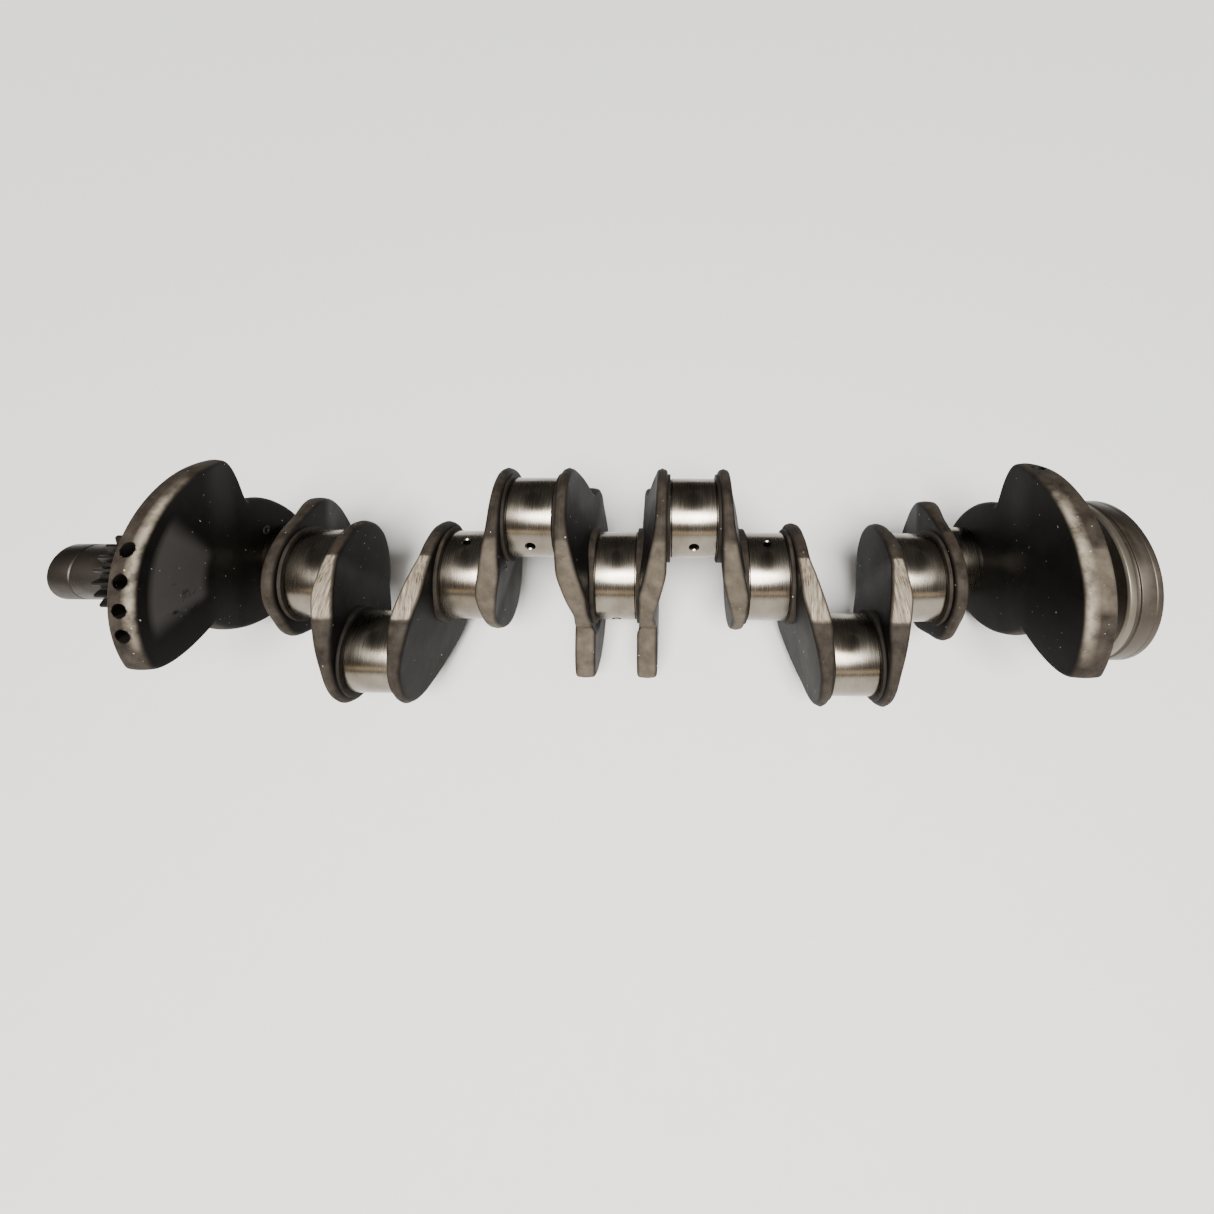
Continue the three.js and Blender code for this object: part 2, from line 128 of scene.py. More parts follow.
# ---- materials ----
class Shader:
    """Short names for building a material's nodes."""

    def __init__(self, name):
        self.material = bpy.data.materials.new(name)
        self.material.use_nodes = True
        self.tree = self.material.node_tree
        self.bsdf = self.tree.nodes["Principled BSDF"]

    def node(self, kind, settings=None, **inputs):
        made = self.tree.nodes.new(kind)
        for key, value in (settings or {}).items():
            setattr(made, key, value)
        for key, value in inputs.items():
            self.put(made.inputs[key], value)
        return made

    def put(self, socket, value):
        if isinstance(value, bpy.types.NodeSocket):
            self.tree.links.new(value, socket)
        else:
            socket.default_value = value

    def set(self, **values):
        for key, value in values.items():
            self.put(self.bsdf.inputs[key.replace("_", " ")], value)
        return self

    def place(self, scale=(1, 1, 1)):
        texture = self.node("ShaderNodeTexCoord")
        mapping = self.node("ShaderNodeMapping", Vector=texture.outputs["Object"], Scale=scale)
        return mapping.outputs[0]

    def noise(self, scale, detail=4, rough=0.6, at=None):
        made = self.node("ShaderNodeTexNoise", Vector=at or self.place(), Scale=scale, Detail=detail)
        made.inputs["Roughness"].default_value = rough
        return made.outputs[0]

    def ramp(self, value, low, high, a=0.0, b=1.0):
        made = self.node("ShaderNodeMapRange", {"clamp": True}, Value=value)
        for index, number in zip((1, 2, 3, 4), (low, high, a, b)):
            self.put(made.inputs[index], number)
        return made.outputs[0]

    def mix(self, share, a, b):
        made = self.node("ShaderNodeMix", {"data_type": "RGBA"})
        self.put(made.inputs[0], share)
        for index, value in ((6, a), (7, b)):
            self.put(made.inputs[index], (*value, 1) if isinstance(value, tuple) else value)
        return made.outputs[2]

    def math(self, operation, a, b=0.0):
        made = self.node("ShaderNodeMath", {"operation": operation})
        self.put(made.inputs[0], a)
        self.put(made.inputs[1], b)
        return made.outputs[0]

    def attribute(self, name):
        return self.node("ShaderNodeAttribute", {"attribute_name": name}).outputs["Fac"]

    def attribute_place(self, name):
        return self.node("ShaderNodeAttribute", {"attribute_name": name}).outputs["Vector"]

    def bump(self, height, distance, strength=1.0, under=None):
        made = self.node("ShaderNodeBump", Height=height, Distance=distance, Strength=strength)
        if under is not None:
            self.put(made.inputs["Normal"], under)
        return made.outputs[0]


def ground_steel():
    s = Shader("ground_journal")
    marks = s.noise(260, 3, 0.7, s.place((14, 0.25, 0.25)))
    smear = s.noise(26, 5, 0.6, s.place((1.6, 1, 1)))
    pits = s.noise(900, 2, 0.5)
    oily = s.mix(s.ramp(smear, 0.42, 0.7), (0.215, 0.192, 0.160), (0.130, 0.110, 0.084))
    spotted = s.mix(s.ramp(pits, 0.70, 0.78), oily, (0.13, 0.105, 0.08))
    rough = s.ramp(marks, 0.3, 0.7, 0.19, 0.30)
    s.set(Base_Color=spotted, Metallic=1.0, Roughness=rough, Anisotropic=0.45, IOR=1.5)
    s.set(Normal=s.bump(marks, 0.00002, 0.16))
    return s.material


def forged_skin():
    s = Shader("forged_skin")
    rim, land, dust = s.attribute("rim"), s.attribute("land"), s.noise(420, 1, 0.5)
    scale_marks = s.noise(90, 6, 0.62)
    blotch = s.noise(22, 4, 0.6)
    face = s.mix(s.ramp(blotch, 0.38, 0.68), (0.0030, 0.0026, 0.0023), (0.0085, 0.0073, 0.0066))
    skin = s.mix(s.ramp(scale_marks, 0.3, 0.72), (0.012, 0.0095, 0.0075), (0.044, 0.036, 0.028))
    torn = s.noise(120, 6, 0.7, s.attribute_place("flow"))
    land_and_highlight_colour = s.mix(s.ramp(torn, 0.36, 0.66), (0.075, 0.060, 0.044), (0.40, 0.340, 0.262))
    cracks = s.ramp(s.noise(210, 3, 0.5, s.attribute_place("flow")), 0.36, 0.40, 0.75, 0.0)
    land_and_highlight_colour = s.mix(cracks, land_and_highlight_colour, (0.035, 0.028, 0.022))
    # The weaker land colour: smooth trimmed rims, and on the last web a painted highlight on its rim.
    dull = s.mix(s.ramp(scale_marks, 0.3, 0.7), (0.080, 0.066, 0.050), (0.160, 0.134, 0.102))
    land_and_highlight_colour = s.mix(s.ramp(land, 0.45, 0.9), dull, land_and_highlight_colour)
    colour = s.mix(land, s.mix(rim, face, skin), land_and_highlight_colour)
    worn, patch = s.attribute("worn"), s.attribute("patch")
    # Painted highlight: the end webs' edge on the pin side is lighter, broken up by the scale marks.
    edge_highlight_marks = s.math("MULTIPLY", worn, s.ramp(scale_marks, 0.36, 0.60, 0.25, 1.0))
    colour = s.mix(edge_highlight_marks, colour, (0.26, 0.225, 0.175))
    # A lighter grey patch with a ragged outline on the first web's pin-side face, round 168 degrees from the
    # throw.
    grey_patch = s.math("MULTIPLY", patch, s.ramp(s.noise(34, 6, 0.6), 0.36, 0.41))
    colour = s.mix(grey_patch, colour, (0.060, 0.055, 0.054))
    colour = s.mix(s.ramp(dust, 0.785, 0.80), colour, (0.42, 0.40, 0.37))
    rough = s.math("ADD", s.ramp(blotch, 0.3, 0.7, 0.46, 0.60), s.math("MULTIPLY", rim, 0.12))
    s.set(Base_Color=colour, Metallic=0.0, Roughness=rough)
    s.set(IOR=1.2, Specular_IOR_Level=0.35)
    fine = s.bump(scale_marks, 0.0004, 0.5)
    s.set(Normal=s.bump(s.math("MULTIPLY", torn, s.ramp(land, 0.45, 0.9)), 0.0012, 0.9, fine))
    return s.material


def turned_steel(name, light, dark, rough):
    s = Shader(name)
    rings = s.noise(190, 3, 0.7, s.place((9, 0.3, 0.3)))
    stain = s.noise(34, 5, 0.65)
    spots = s.noise(700, 2, 0.5)
    colour = s.mix(s.ramp(stain, 0.36, 0.68), light, dark)
    # Metres along the shaft: towards the flange the steel is more worn, and the flange's front band is a
    # painted highlight.
    along = s.node("ShaderNodeSeparateXYZ", Vector=s.place()).outputs[0]
    worn_end = s.math("MULTIPLY", s.ramp(along, 0.30, 0.36), s.ramp(stain, 0.34, 0.62, 0.5, 1.0))
    colour = s.mix(worn_end, colour, (0.085, 0.071, 0.056))
    front_band_highlight = s.math("SUBTRACT", s.ramp(along, 0.3649, 0.3651), s.ramp(along, 0.3705, 0.3709))
    colour = s.mix(s.math("MULTIPLY", front_band_highlight, 0.7), colour, (0.20, 0.178, 0.142))
    colour = s.mix(s.ramp(spots, 0.72, 0.78), colour, (0.20, 0.185, 0.16))
    s.set(Base_Color=colour, Metallic=0.85, Roughness=s.ramp(stain, 0.3, 0.7, rough, rough + 0.16))
    s.set(Anisotropic=0.3, Normal=s.bump(rings, 0.00005, 0.4))
    return s.material


def bearing_steel():
    s = Shader("race_steel")
    marks = s.noise(400, 2, 0.6, s.place((6, 1, 1)))
    s.set(Base_Color=s.mix(s.ramp(marks, 0.3, 0.7), (0.62, 0.61, 0.59), (0.48, 0.47, 0.45)), Metallic=1.0)
    s.set(Roughness=s.ramp(marks, 0.3, 0.7, 0.14, 0.26), Normal=s.bump(marks, 0.00002, 0.3))
    return s.material


def black_rubber():
    s = Shader("seal_rubber")
    grain = s.noise(600, 4, 0.6)
    s.set(Base_Color=s.mix(grain, (0.010, 0.010, 0.010), (0.028, 0.027, 0.026)), Roughness=0.62)
    s.set(Normal=s.bump(grain, 0.0001, 0.4))
    return s.material


MATERIALS = {
    "ground_journal": ground_steel(),
    "forged_skin": forged_skin(),
    "turned_end": turned_steel("turned_end", (0.052, 0.043, 0.037), (0.022, 0.018, 0.015), 0.36),
    "gear_steel": turned_steel("gear_steel", (0.026, 0.022, 0.019), (0.010, 0.0085, 0.0075), 0.42),
    "hardware": turned_steel("hardware", (0.06, 0.054, 0.048), (0.025, 0.022, 0.02), 0.36),
    "race_steel": bearing_steel(),
    "seal_rubber": black_rubber(),
}


# ---- mesh pieces ----
def finish_piece(name, mesh, slot_name, nodes, body=ROOT, sharp=35):
    """A piece that rides on a body and stands in for CAD nodes, with edges over sharp degrees kept sharp."""
    mesh.shade_smooth()
    mesh.set_sharp_from_angle(angle=math.radians(sharp))
    piece = bpy.data.objects.new(name, mesh)
    bpy.context.scene.collection.objects.link(piece)
    piece.data.materials.append(MATERIALS[slot_name])
    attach(piece, body)
    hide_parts(*nodes)
    return piece


def lathe(profile, sides=96, closed=True):
    """Points and faces turned about X from (x, radius) pairs; closed joins the last pair to the first."""
    a = np.linspace(0, 2 * math.pi, sides, endpoint=False)
    points = np.concatenate([np.c_[np.full(sides, x), r * np.cos(a), r * np.sin(a)] for x, r in profile])
    rows = len(profile)
    faces = []
    for i in range(rows if closed else rows - 1):
        j = (i + 1) % rows
        for k in range(sides):
            n = (k + 1) % sides
            faces.append((i * sides + k, i * sides + n, j * sides + n, j * sides + k))
    if not closed:
        faces.append(tuple(range(sides))[::-1])
        faces.append(tuple((rows - 1) * sides + k for k in range(sides)))
    return points, faces


def rounded(corners, radius, steps=3):
    """The profile with each inner corner replaced by a small arc."""
    out = [corners[0]]
    for before, corner, after in zip(corners, corners[1:], corners[2:]):
        p, q, r = (np.array(c, float) for c in (before, corner, after))
        cut = min(radius, np.linalg.norm(p - q) * 0.45, np.linalg.norm(r - q) * 0.45)
        a, b = q + (p - q) / np.linalg.norm(p - q) * cut, q + (r - q) / np.linalg.norm(r - q) * cut
        for i in range(steps + 1):
            t = i / steps
            out.append(tuple((1 - t) ** 2 * a + 2 * t * (1 - t) * q + t * t * b))
    return out + [corners[-1]]


def to_mesh(name, points, faces):
    mesh = bpy.data.meshes.new(name)
    mesh.from_pydata([tuple(p) for p in np.asarray(points) * MM], [], faces)
    made = bmesh.new()
    made.from_mesh(mesh)
    bmesh.ops.recalc_face_normals(made, faces=made.faces)
    made.to_mesh(mesh)
    made.free()
    return mesh


def turn_about_x(points, degrees):
    """The points turned about the main axis, from +Y towards +Z."""
    c, s = math.cos(math.radians(degrees)), math.sin(math.radians(degrees))
    p = np.asarray(points, float)
    return np.c_[p[:, 0], c * p[:, 1] - s * p[:, 2], s * p[:, 1] + c * p[:, 2]]


def joined(*parts):
    """Several pairs of points and faces as one pair."""
    points, faces, start = [], [], 0
    for part_points, part_faces in parts:
        points.append(np.asarray(part_points, float))
        faces += [tuple(i + start for i in f) for f in part_faces]
        start += len(part_points)
    return np.concatenate(points), faces


def cut_out(mesh, points, faces):
    """mesh less the closed body of those points and faces."""
    target = bpy.data.objects.new("target", mesh)
    tool = bpy.data.objects.new("tool", to_mesh("tool", points, faces))
    for o in (target, tool):
        bpy.context.scene.collection.objects.link(o)
    cut = target.modifiers.new("cut", "BOOLEAN")
    cut.operation = "DIFFERENCE"
    cut.object = tool
    bpy.context.view_layer.update()
    made = bpy.data.meshes.new_from_object(target.evaluated_get(bpy.context.evaluated_depsgraph_get()))
    for o in (target, tool):
        bpy.data.objects.remove(o)
    return made


def hole_tool(x, inner, outer, r, flare, degrees):
    """A drilled hole's body out from the axis at an angle, with a flared mouth."""
    mouth = [(outer - flare + r, r), (outer + 1.2, flare + 1.2)]
    points, faces = lathe([(inner, 0.2), (inner + r * 0.55, r), *mouth], 28, False)
    stood = np.c_[x + points[:, 1], points[:, 0], points[:, 2]]
    return turn_about_x(stood, degrees), faces


# ---- throws ----
PIN_MID = [box_mid(f"crankpin_{k}") / MM for k in range(1, THROWS + 1)]
THROW_R = sum(math.hypot(p.y, p.z) for p in PIN_MID) / THROWS
THROW_ANGLE = [math.degrees(math.atan2(p.z, p.y)) for p in PIN_MID]
MAIN_MID = [box_mid(f"main_journal_{k}").x / MM for k in range(1, 7)]
PITCH = MAIN_MID[1] - MAIN_MID[0]
MAIN_MID.append(MAIN_MID[5] + PITCH)  # the last journal's own box isn't centred on it


def plain_radius(a, bulges):
    """Distance from the main axis to the rim of a web without a weight, at angles from the throw."""
    m, p, q = OUTLINE_MIDDLE, OUTLINE_LONG, OUTLINE_WIDE
    c, s = np.cos(a), np.sin(a)
    across = (q * c) ** 2 + (p * s) ** 2
    r = (m * c * q * q + p * q * np.sqrt((q * c) ** 2 + (p * p - m * m) * s * s)) / across
    for at, rise, spread in bulges:
        r = r + rise * np.exp(-((turn_between(a, at) / spread) ** 2))
    return r


def turn_between(a, degrees):
    """Degrees between angles in radians and a direction in degrees, the shorter way round."""
    turn = a - math.radians(degrees)
    return np.degrees(np.abs(np.arctan2(np.sin(turn), np.cos(turn))))


def outline(a, bulges, weight):
    """Distance from the main axis to the rim of a web, at angles from the throw."""
    plain = plain_radius(a, bulges)
    if not weight:
        return plain
    off = turn_between(a, weight["at"])
    low, high = weight["half"] - weight["shoulder"], weight["half"] + weight["shoulder"]
    return weight["rim"] + (plain - weight["rim"]) * smooth(off, low, high)


def face_distances(u, v, spec):
    """Distance from the middle of the crankpin of the web's two faces at points across the throw."""
    blur = np.array([-4, -2, 0, 2, 4])
    pin = np.mean([np.interp(u + b, *zip(*spec["pin"])) for b in blur], axis=0)
    out = np.mean([np.interp(u + b, *zip(*spec["out"])) for b in blur], axis=0)
    from_main = np.hypot(u, v)
    weight = spec.get("weight")
    if weight:
        lower = 1 - smooth(u, weight["reach"] - 34, weight["reach"] + 6)
        beyond = smooth(from_main, 40, 46)
        pin = pin + (weight["pin_face"] - pin) * lower
        out = out + (weight["out_face"] - out) * lower * beyond
    return pin, out


def web_body(spec, seed):
    """A web on the nose side of its crankpin: x from the pin's middle, then along and across the throw.

    The rows of points run from the middle of the face at the pin, over the rim, to the middle of the other
    face. With them come what the material reads at each point, and flow, where its shear marks lie.
    """
    a = np.linspace(0, 2 * math.pi, SIDES, endpoint=False)
    rng = np.random.default_rng(seed)
    weight = spec.get("weight")
    edge_r = outline(a, spec["bulges"], weight) - CROWN
    wobble = sum(rng.uniform(-0.12, 0.12) * np.cos(k * a + rng.uniform(0, 6)) for k in range(5, 16))
    edge_r = edge_r - 0.3 + 0.5 * wobble
    # Painted highlight along the pin-side edge and onto the rim, strongest round 160 degrees from the throw.
    bright = spec.get("worn_edge", 0) * (1 - smooth(turn_between(a, 160), 18, 46))
    # A lighter grey patch on the pin-side face, round 168 degrees from the throw and 30 to 84 mm from the
    # main axis.
    patch_side = spec.get("patch", 0) * (1 - smooth(turn_between(a, 168), 20, 34))
    # Lighter lengths of rim: trimmed forging flash, and on the last web a painted highlight.
    near_land = np.zeros_like(a)
    if "land" in spec:
        low, high = spec["land"]
        strength = 1.0 if spec.get("torn") else 0.45
        deg = (np.degrees(a) + 180) % 360 - 180
        ragged = 2.0 * np.sin(7 * a + seed) + 1.5 * np.sin(23 * a)
        torn_at = deg + ragged * 0.4
        inside = smooth(torn_at, low - 1, low + 1.5) * (1 - smooth(torn_at, high - 1.5, high + 1))
        near_land = inside * strength
    facing = np.linspace(0.04, 1, RINGS)
    turns = np.radians([15, 32, 50, 70, 90])
    rows = []
    shares = dict(rim=[], land=[], worn=[], patch=[])

    def add(row, **values):
        """One more row of points and what the material reads there, which is 0 if it isn't named."""
        rows.append(row)
        for name, kept in shares.items():
            kept.append(np.broadcast_to(values.get(name, 0.0), SIDES))

    def face_row(side, inset, drop=0.0):
        """A row round one face, in from the rim and below the face, and its distances from the main axis."""
        r = np.maximum(edge_r - inset, 0)
        u, v = r * np.cos(a), r * np.sin(a)
        d = face_distances(u, v, spec)[side] + (drop if side == PIN_SIDE else -drop)
        return np.c_[-d, u, v], r

    def patch_at(r):
        return smooth(r, 30, 40) * (1 - smooth(r, 78, 84)) * patch_side

    for s in facing:
        row, r = face_row(PIN_SIDE, (1 - s) * (edge_r - EDGE) + EDGE)
        add(row, patch=patch_at(r))
    for t in turns:
        row, r = face_row(PIN_SIDE, EDGE * (1 - math.sin(t)), EDGE * (1 - math.cos(t)))
        edge_share = math.sin(t) ** 2
        land_and_highlight_edge = near_land * math.sin(t) ** 4
        add(row, rim=edge_share, land=land_and_highlight_edge, worn=bright * edge_share, patch=patch_at(r))
    first, last = rows[-1], face_row(OUT_SIDE, 0, EDGE)[0]
    for i in range(1, RIM_STEPS):
        t = i / RIM_STEPS
        mid = first * (1 - t) + last * t
        lift = CROWN * (1 - (2 * t - 1) ** 2)
        long_marks = 0.55 * np.sin(9 * t + 3 * np.sin(5 * a + seed))
        short_marks = 0.4 * np.sin(31 * a + 14 * t + seed)
        tear = near_land * spec.get("torn", 0) * (long_marks + short_marks)
        mid_r = np.hypot(mid[:, 1], mid[:, 2])
        scale = (mid_r + lift - near_land * 0.5 + np.minimum(tear, 0.45)) / mid_r
        row = np.c_[mid[:, 0], mid[:, 1] * scale, mid[:, 2] * scale]
        add(row, rim=1.0, land=near_land, worn=bright * max(0.0, 1 - 2.5 * t))
    add(last, rim=1.0, land=near_land)
    for t in turns[::-1][1:]:
        row, _ = face_row(OUT_SIDE, EDGE * (1 - math.sin(t)), EDGE * (1 - math.cos(t)))
        add(row, rim=math.sin(t) ** 2, land=near_land * math.sin(t) ** 4)
    for s in facing[::-1]:
        add(face_row(OUT_SIDE, (1 - s) * (edge_r - EDGE) + EDGE)[0])
    points = np.concatenate(rows)
    n = len(rows)
    faces = []
    for i in range(n - 1):
        for k in range(SIDES):
            j = (k + 1) % SIDES
            faces.append((i * SIDES + k, i * SIDES + j, (i + 1) * SIDES + j, (i + 1) * SIDES + k))
    faces.append(tuple(range(SIDES))[::-1])
    faces.append(tuple((n - 1) * SIDES + k for k in range(SIDES)))
    angle = np.tile(a, n)
    along_rim = angle * OUTLINE_WIDE
    slanted = points[:, 0] + 0.12 * along_rim
    flow = np.c_[slanted * STREAK, along_rim * STREAK / 9, np.zeros(len(points))]
    return points, faces, {name: np.concatenate(values) for name, values in shares.items()}, flow


def collar(low, high, r, along=0.0):
    """A turned collar about the main axis or, at a distance along the throw, about the crankpin."""
    profile = rounded([(low, r - 8), (low, r), (high, r), (high, r - 5)], 0.5)
    points, faces = lathe(profile, 96, True)
    points = points + np.array([0, along, 0])
    return points, faces


def build_web(number, spec):
    """One web with its collars; an even number is the mirror image, on the flange's side of its pin."""
    throw = (number - 1) // 2
    mid = PIN_MID[throw]
    rear = number % 2 == 0
    points, faces, shares, flow = web_body(spec, number)
    pin_collar = collar(-PIN_COLLAR_FOOT, -(GROUND_PIN_HALF + GROOVE_WIDTH), PIN_COLLAR_R, THROW_R)
    half_pitch = PITCH / 2
    main_end = half_pitch - GROUND_MAIN_HALF - GROOVE_WIDTH
    if number == 2 * THROWS:
        main_end = half_pitch - LAST_COLLAR_TO_MAIN
    main_collar = collar(-main_end, -MAIN_COLLAR_FOOT, MAIN_COLLAR_R)
    collars = np.r_[np.full(len(pin_collar[0]), 0.35), np.full(len(main_collar[0]), 0.8)]
    all_points, all_faces = joined((points, faces), pin_collar, main_collar)
    if rear:
        all_points[:, 0] *= -1
    placed = turn_about_x(all_points, THROW_ANGLE[throw]) + np.array([mid.x, 0, 0])
    mesh = to_mesh(f"web_{number}", placed, all_faces)
    for name, values in shares.items():
        made = mesh.attributes.new(name, "FLOAT", "POINT")
        rest = collars if name == "rim" else collars * 0
        made.data.foreach_set("value", np.r_[values, rest].astype(np.float32))
    made = mesh.attributes.new("flow", "FLOAT_VECTOR", "POINT")
    made.data.foreach_set("vector", np.r_[flow, np.zeros((len(collars), 3))].astype(np.float32).ravel())
    weight = spec.get("weight")
    for degrees in spec.get("rim_holes", ()):
        x = -(weight["pin_face"] + weight["out_face"]) / 2 * (-1 if rear else 1)
        tool, tool_faces = hole_tool(x, weight["rim"] - RIM_HOLE_DEPTH, weight["rim"], RIM_HOLE_R,
                                     RIM_HOLE_FLARE_R, weight["at"] + degrees)
        mesh = cut_out(mesh, turn_about_x(tool, THROW_ANGLE[throw]) + np.array([mid.x, 0, 0]), tool_faces)
    finish_piece(f"web_{number}_look", mesh, "forged_skin", [f"crank_web_{number}"], sharp=50)


SLANTED = dict(pin=SLANT_PIN, out=SLANT_OUT, bulges=())
NEAR_LAND, SMOOTH_LAND = (-92, -47), (28, 150)  # trimmed lengths of a rim, in degrees from the throw
WEBS = (
    dict(pin=UPRIGHT_PIN, out=UPRIGHT_OUT, bulges=(BULGE,), weight=FRONT_WEIGHT,
         rim_holes=(4.3, 17.2, 28.9, 39.8), worn_edge=1.0, patch=1.0),
    {**SLANTED, "bulges": (BULGE, LOW_BULGE)},
    {**SLANTED, "land": NEAR_LAND, "torn": 1},
    {**SLANTED, "bulges": (BULGE,), "land": NEAR_LAND, "torn": 1},
    {**SLANTED, "land": SMOOTH_LAND},
    {**SLANTED, "weight": MID_WEIGHT, "land": SMOOTH_LAND},
    {**SLANTED, "weight": MID_WEIGHT, "land": SMOOTH_LAND},
    {**SLANTED, "land": SMOOTH_LAND},
    {**SLANTED, "bulges": (BULGE,), "land": NEAR_LAND, "torn": 1},
    {**SLANTED, "land": NEAR_LAND, "torn": 1},
    {**SLANTED, "bulges": (BULGE, LOW_BULGE)},
    dict(pin=UPRIGHT_PIN, out=UPRIGHT_OUT, bulges=(BULGE,), weight=REAR_WEIGHT,
         # On the last web the land from 152 to 180 degrees is a painted highlight, a lighter rim on its near
         # side.
         rim_holes=(-47.5,), worn_edge=1.0, land=(152, 180)),
)
for number, spec in enumerate(WEBS, 1):
    build_web(number, spec)


# ---- journals ----
def build_journal(name, x, r, ground, half, hole_angle, centre=(0, 0), turn=0.0, rear=None):
    """A ground journal between undercuts; rear is where it ends instead when it has no undercut there."""
    groove = r - GROOVE_DEPTH
    front = [(-half, groove), (-ground - 0.3, groove), (-ground, r)]
    back = [(rear, r)] if rear else [(ground, r), (ground + 0.3, groove), (half, groove)]
    profile = rounded(front + back, 0.35)
    points, faces = lathe(profile, 128, False)
    mesh_points = turn_about_x(points + np.array([0, *centre]), turn) + np.array([x, 0, 0])
    mesh = to_mesh(name, mesh_points, faces)
    tool, tool_faces = hole_tool(0, r - OIL_HOLE_DEPTH, r, OIL_HOLE_R, OIL_HOLE_FLARE_R, hole_angle)
    tool = turn_about_x(tool + np.array([0, *centre]), turn) + np.array([x, 0, 0])
    return cut_out(mesh, tool, tool_faces)


for k in range(1, THROWS + 1):
    mesh = build_journal(f"pin_{k}", PIN_MID[k - 1].x, PIN_R, GROUND_PIN_HALF, PIN_HALF, PIN_OIL_ANGLE,
                         (THROW_R, 0), THROW_ANGLE[k - 1])
    finish_piece(f"crankpin_{k}_look", mesh, "ground_journal", [f"crankpin_{k}"])
for k in range(1, THROWS + 2):
    rear = LAST_MAIN_REAR if k == THROWS + 1 else None
    mesh = build_journal(f"main_{k}", MAIN_MID[k - 1], MAIN_R, GROUND_MAIN_HALF, MAIN_HALF,
                         THROW_ANGLE[0] + MAIN_OIL_PHASE[k - 1], rear=rear)
    finish_piece(f"main_journal_{k}_look", mesh, "ground_journal", [f"main_journal_{k}"])


# ---- oil plugs, key and dowel ----
def disc_between(node, r, bevel):
    """A pin or plug that fills its node's length, with a shallow pit in the middle of its rear end."""
    low, high = (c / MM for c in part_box(node))
    mid = (low + high) / 2
    profile = rounded([(low.x, 0.05), (low.x, r), (high.x, r), (high.x, r * 0.5),
                       (high.x - 1.2, r * 0.42), (high.x - 1.2, 0.05)], bevel)
    points, faces = lathe(profile, 40, False)
    return to_mesh(node, points + np.array([0, mid.y, mid.z]), faces)


for k in range(1, THROWS + 1):
    node = f"oil_gallery_plug_{k}"
    finish_piece(f"{node}_look", disc_between(node, PLUG_R, 0.3), "hardware", [node])
dowel = disc_between("flywheel_dowel", DOWEL_R, 0.5)
finish_piece("flywheel_dowel_look", dowel, "hardware", ["flywheel_dowel"])


def rounded_block(node, height, width, inset, bevel):
    """A bevelled block along the shaft, its height along the first throw."""
    low, high = (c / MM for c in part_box(node))
    made = bmesh.new()
    bmesh.ops.create_cube(made, size=1)
    turn = math.radians(THROW_ANGLE[0])
    length = high.x - low.x - 2 * inset
    bmesh.ops.scale(made, vec=Vector((length, height, width)), verts=made.verts)
    bmesh.ops.bevel(made, geom=made.edges[:], offset=bevel, segments=3, affect="EDGES")
    mid = (low + high) / 2
    pose = Matrix.Translation(mid) @ Matrix.Rotation(turn, 4, "X")
    bmesh.ops.transform(made, matrix=pose, verts=made.verts)
    bmesh.ops.scale(made, vec=Vector((MM, MM, MM)), verts=made.verts)
    mesh = bpy.data.meshes.new(node)
    made.to_mesh(mesh)
    made.free()
    return mesh


key = rounded_block("gear_key", KEY_HEIGHT, KEY_WIDTH, 0.05, 0.5)
finish_piece("gear_key_look", key, "hardware", ["gear_key"])


# ---- nose, gear and flange ----
nose_low, nose_high = (c.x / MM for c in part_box("nose_shaft"))
gear_low, gear_high = (c.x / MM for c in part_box("timing_gear"))
nose_profile = [
    (nose_low + 42, 0.3), (nose_low + 38, 6.8), (nose_low + 1.4, 6.9), (nose_low + 0.1, 8.2),
    (nose_low + 0.1, 21.2), (nose_low + 1.3, 22.3), (nose_low + 17.5, 22.35), (nose_low + 18.2, 21.9),
    (nose_low + 19.4, 21.9), (nose_low + 20.1, 22.3), (gear_high, 22.35), (gear_high, 28.9),
    (nose_high, 28.9), (nose_high, 0.3),
]
nose = to_mesh("nose", *lathe(rounded(nose_profile, 0.4), 96, False))
finish_piece("nose_look", nose, "turned_end", ["nose_shaft"])


def gear_body(teeth, tip, root, x0, x1, bore):
    """A spur gear with chamfered, slightly worn teeth."""
    shares = ((-0.36, 0.0), (-0.25, 0.12), (-0.19, 0.55), (-0.12, 0.93), (-0.08, 1.0),
              (0.08, 1.0), (0.12, 0.93), (0.19, 0.55), (0.25, 0.12), (0.36, 0.0))
    a, r = [], []
    for i in range(teeth):
        for share, height in shares:
            a.append(2 * math.pi * (i + share) / teeth)
            r.append(root + (tip - root) * height)
    a, r = np.array(a), np.array(r)
    sections = []
    for x, inset in ((x0, 1.0), (x0 + 1.0, 0.0), (x1 - 1.0, 0.0), (x1, 1.0)):
        sections.append(np.c_[np.full(len(a), x), (r - inset) * np.cos(a), (r - inset) * np.sin(a)])
    for x in (x1, x0):
        sections.append(np.c_[np.full(len(a), x), bore * np.cos(a), bore * np.sin(a)])
    n, rows = len(a), len(sections)
    faces = [(i * n + k, i * n + (k + 1) % n, ((i + 1) % rows) * n + (k + 1) % n, ((i + 1) % rows) * n + k)
             for i in range(rows) for k in range(n)]
    return np.concatenate(sections), faces


points, faces = gear_body(GEAR_TEETH, GEAR_TIP_R, GEAR_ROOT_R, gear_low + 0.05, gear_high - 0.1, GEAR_BORE_R)
gear = to_mesh("gear", turn_about_x(points, THROW_ANGLE[0]), faces)
finish_piece("timing_gear_look", gear, "gear_steel", ["timing_gear"])

